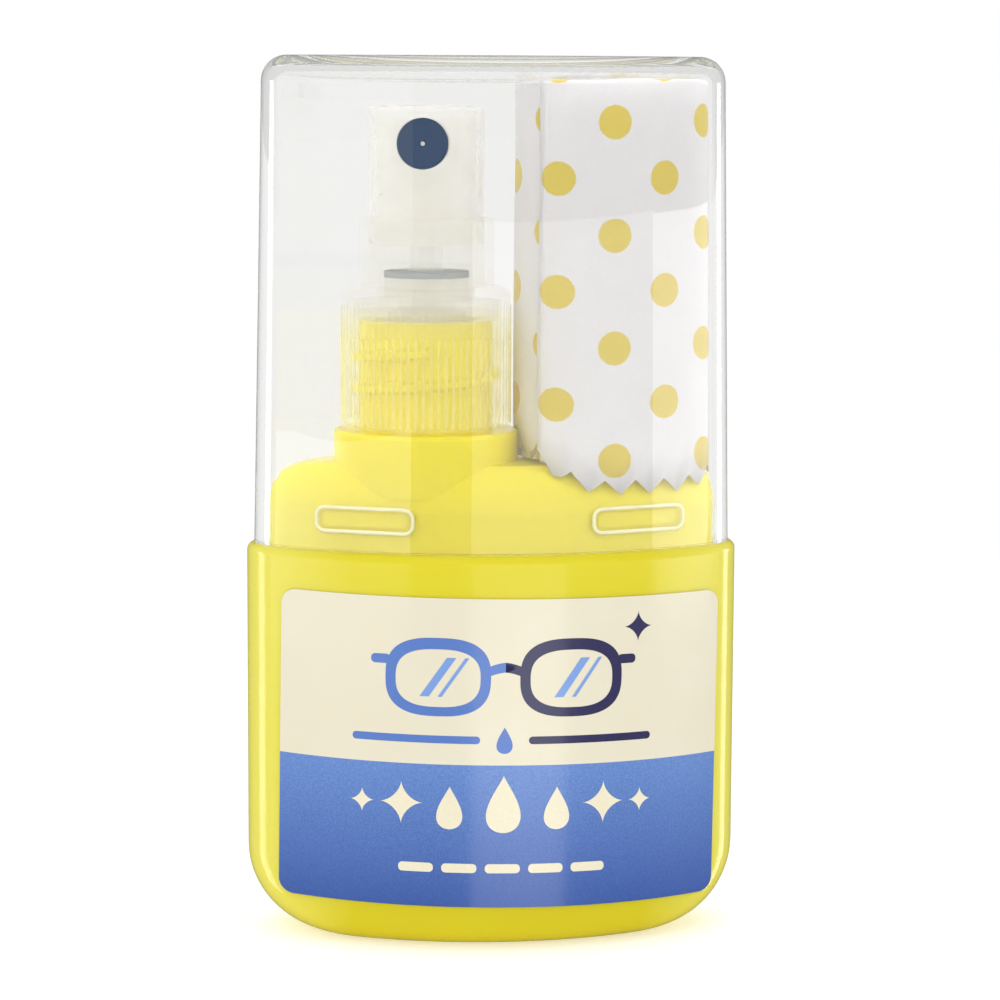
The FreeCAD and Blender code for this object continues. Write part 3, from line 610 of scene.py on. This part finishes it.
def front_print(blue, navy, cream, pale):
    """Two-tone spectacles with a sparkle over a divider, and drops and sparkles on the band."""
    facts = {"tilt": LABEL_TILT, "shift": LABEL_SHIFT}
    lens_x, lens_z = 6.5 * MM, 7.4 * MM
    left_x, right_x = -lens_x, lens_x
    arm = 1.9 * MM
    inner_edge = lens_x - 5.1 * MM + 0.15 * MM
    arm_x = lens_x + 5.6 * MM
    divider_z, divider_x = 1.35 * MM, 8.6 * MM

    def arm_tab(side):
        return oblong(side * arm_x, lens_z + 1.6 * MM, arm, 0.9 * MM, 0.4 * MM)

    def divider(side):
        return oblong(side * divider_x, divider_z, 12.5 * MM, 0.75 * MM, 0.37 * MM)

    print_on("front_label", "spectacles_left", spectacle_lens(left_x, lens_z), blue, **facts)
    print_on("front_label", "spectacles_right", spectacle_lens(right_x, lens_z), navy, **facts)
    print_on("front_label", "bridge_left", [bridge(-inner_edge, 0, lens_z)], blue, **facts)
    print_on("front_label", "bridge_right", [bridge(0, inner_edge, lens_z)], navy, **facts)
    print_on("front_label", "arm_left", [arm_tab(-1)], blue, **facts)
    print_on("front_label", "arm_right", [arm_tab(1)], navy, **facts)
    print_on("front_label", "glints", glint(left_x, lens_z) + glint(right_x, lens_z), pale, **facts)
    print_on("front_label", "divider_left", [divider(-1)], blue, **facts)
    print_on("front_label", "divider_right", [divider(1)], navy, **facts)
    print_on("front_label", "divider_drop", [droplet(0, divider_z, 2.6 * MM)], blue, **facts)
    print_on("front_label", "top_sparkle", [sparkle(13.3 * MM, 12.1 * MM, 3.0 * MM)], navy, **facts)

    row_z, line_z = -4.9 * MM, -11.2 * MM
    drops = [droplet(0, row_z, 5.6 * MM)]
    drops += [droplet(side * 5.2 * MM, row_z - 0.4 * MM, 4.2 * MM) for side in (-1, 1)]
    drops += [sparkle(side * 9.9 * MM, row_z, 4.2 * MM) for side in (-1, 1)]
    drops += [sparkle(side * 13.8 * MM, row_z, 2.4 * MM) for side in (-1, 1)]
    print_on("front_label", "band_row", drops, cream, **facts)
    dash_step = 4.2 * MM
    dashes = [oblong(i * dash_step, line_z, 3.4 * MM, 0.9 * MM, 0.4 * MM) for i in range(-2, 3)]
    print_on("front_label", "band_dashes", dashes, cream, **facts)


def back_print(blue, navy, cream):
    """Plain bars in place of small print, and one drop on the band."""
    bars = []
    for row, width in enumerate((26, 30, 30, 22)):
        middle_x = -16 * MM + width * MM / 2
        bars.append(oblong(middle_x, (12.0 - 2.6 * row) * MM, width * MM, 0.8 * MM, 0.3 * MM))
    print_on("back_label", "back_bars", bars, navy, back=True)
    print_on("back_label", "back_drop", [droplet(15.2 * MM, 2.6 * MM, 3.4 * MM)], blue, back=True)
    marks = [droplet(0, -8.2 * MM, 6.0 * MM)]
    marks += [sparkle(side * 6 * MM, -8.2 * MM, 3.0 * MM) for side in (-1, 1)]
    print_on("back_label", "back_band_row", marks, cream, back=True)


# ---- Return spring -------------------------------------------------------------------------------


def pressed_spring():
    """The return spring, copied in place from its CAD node, which is hidden."""
    node = NODES["return_spring"]
    mesh = node.data.copy()
    mesh.transform(node.matrix_world)
    spring = bpy.data.objects.new("pressed_spring", mesh)
    bpy.context.scene.collection.objects.link(spring)
    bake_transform(spring)
    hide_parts("return_spring")


# ---- Snap pads -----------------------------------------------------------------------------------


def pad_edges():
    """A fine tube round each snap pad, inside the overcap's wall, painted pale as a highlight."""
    material = pad_highlight_plastic()
    radius, behind = label_arc()
    reach = radius - PAD_DEPTH
    for side, name in ((1, "front"), (-1, "back")):
        for centre, place in zip(PAD_CENTRES, ("left", "right")):
            curve = bpy.data.curves.new(f"pad_edge_{name}_{place}", "CURVE")
            curve.dimensions = "3D"
            curve.bevel_depth = PAD_EDGE_R
            curve.bevel_resolution = 3
            outline = oblong(centre, PAD_MIDDLE_Z, PAD_LENGTH, PAD_HEIGHT, 0.8 * MM)
            spline = curve.splines.new("POLY")
            spline.points.add(len(outline) - 1)
            spline.use_cyclic_u = True
            for point, (x, z) in zip(spline.points, outline):
                depth = math.sqrt(reach**2 - x**2) - behind
                point.co = (x, -side * depth, z, 1)
            piece = bpy.data.objects.new(curve.name, curve)
            curve.materials.append(material)
            bpy.context.scene.collection.objects.link(piece)
            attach(piece, "overcap")


# ---- Rolled cloth --------------------------------------------------------------------------------


def roll_spiral():
    """The spiral's line as a function of the angle rolled, in the space that the CAD's solid holds."""
    low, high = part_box("microfibre_cloth")
    stack = 1.5 * LAYER_STEP + CLOTH_THICKNESS
    left, right = low.x + stack, high.x - stack - RIGHT_GAP
    depth = (high.y - low.y) / 2 - stack

    def inset(degrees):
        """How much further in the spiral lies than its outer end, where it first faces that way."""
        return ROLL_STEP * ((degrees - ROLL_START_DEG) % 360) / 360

    middle_x = (left + right + inset(0) - inset(180)) / 2
    half_x = (right - left + inset(0) + inset(180)) / 2
    middle_y = (inset(90) - inset(270)) / 2
    half_y = (depth + (inset(90) + inset(270)) / 2) / (1 + ROLL_TAPER**2 / 2)

    def at(rolled):
        angle = math.radians(ROLL_START_DEG) + rolled
        inward = ROLL_STEP * rolled / (2 * math.pi)
        c, s = math.cos(angle), math.sin(angle)
        return Vector((
            middle_x + (half_x - inward) * c,
            middle_y + (half_y - inward) * s * (1 - ROLL_TAPER * c),
            0,
        ))

    return at


def roll_columns():
    """Even steps along the stack's middle, from its outer end: (point, outward, angle rolled)."""
    at = roll_spiral()
    step = PINKING_PITCH / COLUMNS_PER_TOOTH
    small = 1e-4
    rolled, columns = 0.0, []
    for _ in range(int(CLOTH_ALONG / step) + 1):
        here = at(rolled)
        along = at(rolled + small) - here
        columns.append((here, Vector((along.y, -along.x, 0)).normalized(), rolled))
        rolled += small * step / along.length
    return columns


def fold_section(height, rows=13, bends=6):
    """The folded stack's section as (sideways, height) points.

    The sheet runs up the outermost layer, over the top to the innermost, down, round the bottom fold,
    up again, over the top inside the first fold and down the second layer.
    """
    step = LAYER_STEP

    def straight(side, start, end):
        return [(side, start + (end - start) * i / rows) for i in range(rows + 1)]

    def bend(centre, radius, z, start, end):
        turns = [math.radians(start + (end - start) * i / bends) for i in range(1, bends)]
        return [(centre + radius * math.cos(t), z + radius * math.sin(t)) for t in turns]

    outer_top, inner_top = height - 1.5 * step, height - 1.1 * step
    points = straight(1.5 * step, 0, outer_top)
    points += bend(0, 1.5 * step, outer_top, 0, 180)
    points += straight(-1.5 * step, outer_top, 0.5 * step)
    points += bend(-step, 0.5 * step, 0.5 * step, 180, 360)
    points += straight(-0.5 * step, 0.5 * step, inner_top)
    points += bend(0, 0.5 * step, inner_top, 180, 0)
    points += straight(0.5 * step, inner_top, 0)
    return points


def resting_heights(places):
    """How low the cloth reaches at each column and point, eased so that it drapes over edges."""
    low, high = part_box("microfibre_cloth")
    bottle = BVHTree.FromObject(NODES["bottle"], bpy.context.evaluated_depsgraph_get())
    raw = []
    for row in places:
        heights = []
        for place in row:
            hit = bottle.ray_cast(Vector((place.x, place.y, high.z)), Vector((0, 0, -1)))[0]
            heights.append(max(low.z + 0.1 * MM, (hit.z if hit else 0.0) + REST_GAP))
        raw.append(heights)
    reach = 4
    eased = []
    for i, heights in enumerate(raw):
        near = raw[max(0, i - reach):i + reach + 1]
        means = [sum(column) / len(near) for column in zip(*near)]
        eased.append([max(pair) for pair in zip(heights, means)])
    return eased


def layer_places(columns, section, full):
    """Where each column's section lies, seen from above: rippled, leaning in, with a spread hem."""
    radius, behind = label_arc()
    last_turn = columns[-1][2]
    places = []
    for centre, outward, rolled in columns:
        looseness = 1 - 0.7 * rolled / last_turn
        angle = math.radians(ROLL_START_DEG) + rolled
        lean = ROLL_LEAN * min(1.0, 1 + outward.x)
        row = []
        for side, rise in section:
            share = rise / full
            ripple = noise.noise(Vector((math.cos(angle) * 1.7, math.sin(angle) * 1.7, share * 2.0)))
            place = centre + outward * (side + looseness * RIPPLE * ripple - lean * share)
            if side > LAYER_STEP and rolled < 2 * math.pi and share < FLARE_SHARE:
                spread = (1 - share / FLARE_SHARE) ** 2
                place.y -= HEM_FLARE * spread * max(0.0, -outward.y)
                limit = math.sqrt((radius - CAP_WALL_DEPTH) ** 2 - place.x**2) - behind
                place.y = max(place.y, -limit)
            row.append(place)
        places.append(row)
    return places


def rolled_cloth():
    """The sheet, folded in four and rolled, standing on the bottle's shoulder."""
    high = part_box("microfibre_cloth")[1]
    columns = roll_columns()
    section = fold_section((CLOTH_ACROSS - LAYERS * LAYER_STEP) / LAYERS)
    full = max(rise for _, rise in section)
    rising = [0.0]
    for a, b in zip(section, section[1:]):
        rising.append(rising[-1] + math.hypot(b[0] - a[0], b[1] - a[1]))
    straight = next(i for i, (side, _) in enumerate(section) if side < section[0][0]) - 1
    places = layer_places(columns, section, full)
    floors = resting_heights(places)

    shape = bmesh.new()
    layer = shape.loops.layers.uv.new("flat")
    grid, lengths = [], []
    for index, row in enumerate(places):
        tooth = abs((index / COLUMNS_PER_TOOTH) % 1 - 0.5) * 2
        lift = TOP_GAP + TOP_WAVE * noise.noise(Vector((columns[index][2] * 0.9, 3.0, 0)))
        for number, (place, (_, rise)) in enumerate(zip(row, section)):
            share = rise / full
            near_edge = min(number, len(section) - number) < len(section) / 7
            hem = PINKING_DEPTH * tooth * max(0.0, 1 - share / PINKING_SHARE) if near_edge else 0.0
            floor_z = floors[index][number]
            place.z = floor_z + (high.z - lift - floor_z) * share + hem
        grid.append([shape.verts.new(place) for place in row])
        top = row[straight].z
        lengths.append([
            rising[number] if number > straight else rising[straight] - (top - place.z)
            for number, place in enumerate(row)
        ])
    for i in range(len(grid) - 1):
        for j in range(len(section) - 1):
            corners = ((i, j), (i + 1, j), (i + 1, j + 1), (i, j + 1))
            face = shape.faces.new([grid[a][b] for a, b in corners])
            for loop, (a, b) in zip(face.loops, corners):
                along = a * PINKING_PITCH / COLUMNS_PER_TOOTH
                loop[layer].uv = (along / CLOTH_ALONG, lengths[a][b] / CLOTH_ACROSS)
    mesh = bpy.data.meshes.new("rolled_cloth")
    shape.to_mesh(mesh)
    shape.free()
    mesh.shade_smooth()
    mesh.materials.append(cloth_fabric())
    cloth = bpy.data.objects.new("rolled_cloth", mesh)
    bpy.context.scene.collection.objects.link(cloth)
    body = cloth.modifiers.new("thickness", "SOLIDIFY")
    body.thickness = CLOTH_THICKNESS
    body.offset = 0
    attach(cloth, "cloth")
    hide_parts("microfibre_cloth")


# ---- Stage, lights and camera --------------------------------------------------------------------


def floor():
    """A plain pale floor with no edge in view, that brightens into the white surround."""
    half = 4.0
    drop = 0.05 * MM
    mesh = bpy.data.meshes.new("floor")
    corners = [(-half, -half, -drop), (half, -half, -drop), (half, half, -drop), (-half, half, -drop)]
    mesh.from_pydata(corners, [], [(0, 1, 2, 3)])
    m = Material("floor", roughness=0.9, specular_ior_level=0.1, emission_color=(1.0, 1.0, 1.0))
    away = m.span(m.vector("LENGTH", m.place), 0.0, 1.0, 0.05, 0.28)
    near = m.blend(m.noise(400 * MM), (0.78, 0.78, 0.78), (0.80, 0.80, 0.80))
    m.surface(base_color=m.blend(away, near, (0.01, 0.01, 0.01)))
    m.surface(emission_strength=m.span(away, 0.42, 1.0))
    mesh.materials.append(m.data)
    piece = bpy.data.objects.new("floor", mesh)
    bpy.context.scene.collection.objects.link(piece)
    piece.visible_glossy = False


def sky():
    """A white surround, seen directly or through clear plastic. Reflections see a dimmer room."""
    world = bpy.data.worlds.new("studio")
    world.use_nodes = True
    bpy.context.scene.world = world
    tree = world.node_tree
    path = tree.nodes.new("ShaderNodeLightPath").outputs

    def math_node(operation, *values):
        node = tree.nodes.new("ShaderNodeMath")
        node.operation = operation
        for socket, value in zip(node.inputs, values):
            if isinstance(value, bpy.types.NodeSocket):
                tree.links.new(value, socket)
            else:
                socket.default_value = value
        return node.outputs[0]

    through = path["Is Transmission Ray"]
    diffused = math_node("GREATER_THAN", path["Diffuse Depth"], 0.5)
    reflected = math_node("GREATER_THAN", path["Glossy Depth"], 0.5)
    lit = math_node("MULTIPLY_ADD", diffused, LIGHT_UNDER_CAP - 1, 1.0)
    mirror = math_node("MULTIPLY", reflected, math_node("SUBTRACT", 1.0, diffused))
    under_cap = math_node("MULTIPLY_ADD", mirror, ROOM_UNDER_CAP - 1, lit)
    seen_through = math_node("MULTIPLY", through, under_cap)
    outside_glossy = math_node("MULTIPLY", path["Is Glossy Ray"], math_node("SUBTRACT", 1.0, through))
    mirrored = math_node("MULTIPLY", outside_glossy, ROOM_IN_REFLECTIONS)
    diffuse = math_node("MULTIPLY", path["Is Diffuse Ray"], SURROUND_LIGHT)
    direct = math_node("ADD", diffuse, path["Is Camera Ray"])
    total = math_node("ADD", math_node("ADD", seen_through, mirrored), direct)
    background = tree.nodes["Background"]
    background.inputs["Color"].default_value = (1, 1, 1, 1)
    tree.links.new(total, background.inputs["Strength"])


def softbox(name, place, target, width, height, radiance, mirrored):
    """A rectangular light. A mirrored one shows only in reflections, and any other only lights."""
    light = bpy.data.lights.new(name, "AREA")
    light.shape = "RECTANGLE"
    light.size, light.size_y = width, height
    light.energy = radiance * math.pi * width * height
    lamp = bpy.data.objects.new(name, light)
    bpy.context.scene.collection.objects.link(lamp)
    lamp.location = place
    lamp.rotation_mode = "QUATERNION"
    lamp.rotation_quaternion = (Vector(target) - Vector(place)).to_track_quat("-Z", "Y")
    lamp.visible_camera = False
    lamp.visible_transmission = False
    lamp.visible_glossy = mirrored
    lamp.visible_diffuse = not mirrored


def panel(name, start, end, bottom, top, radiance, distance=0.40):
    """An upright panel that shows in reflections, from one azimuth to another.

    0 is in front and 90 to the right.
    """
    middle = math.radians((start + end) / 2)
    width = 2 * distance * math.tan(math.radians((end - start) / 2))
    z = (bottom + top) / 2
    place = (distance * math.sin(middle), -distance * math.cos(middle), z)
    softbox(name, place, (0, 0, z), width, top - bottom, radiance, True)


def lights():
    centre = (0, 0, 0.045)
    softbox("overhead", (0.0, 0.05, 0.75), centre, 0.9, 0.9, 0.9, False)
    softbox("front_fill", (-0.2, -0.6, 0.5), centre, 0.5, 0.4, 1.5, False)
    for name, *facts in PANELS:
        panel(name, *facts)


def camera():
    data = bpy.data.cameras.new("camera")
    data.sensor_width = 36
    data.lens = CAMERA_LENS
    data.clip_start = 0.01
    view = bpy.data.objects.new("camera", data)
    bpy.context.scene.collection.objects.link(view)
    bpy.context.scene.camera = view
    a = CAMERA_AZIMUTH
    aside = Vector((math.cos(a), math.sin(a), 0)) * CAMERA_ASIDE
    back = Vector((math.sin(a), -math.cos(a), 0))
    view.location = back * CAMERA_DISTANCE + aside + Vector((0, 0, CAMERA_HEIGHT))
    view.rotation_euler = (math.pi / 2 - CAMERA_PITCH, CAMERA_ROLL, a)
    scene = bpy.context.scene
    scene.view_settings.view_transform = "Standard"
    scene.cycles.max_bounces = 32
    scene.cycles.diffuse_bounces = 8
    scene.cycles.glossy_bounces = 24
    scene.cycles.transmission_bounces = 24
    scene.cycles.transparent_max_bounces = 48


# ---- The whole scene -----------------------------------------------------------------------------

camera()
dress_nodes()
INK_BLUE = ink("ink_blue", MARK_BLUE)
INK_NAVY = ink("ink_navy", MARK_NAVY)
INK_CREAM = ink("ink_cream", CREAM)
front_print(INK_BLUE, INK_NAVY, INK_CREAM, ink("ink_pale", PALE_BLUE))
back_print(INK_BLUE, INK_NAVY, INK_CREAM)
pressed_spring()
pad_edges()
rolled_cloth()
floor()
sky()
lights()
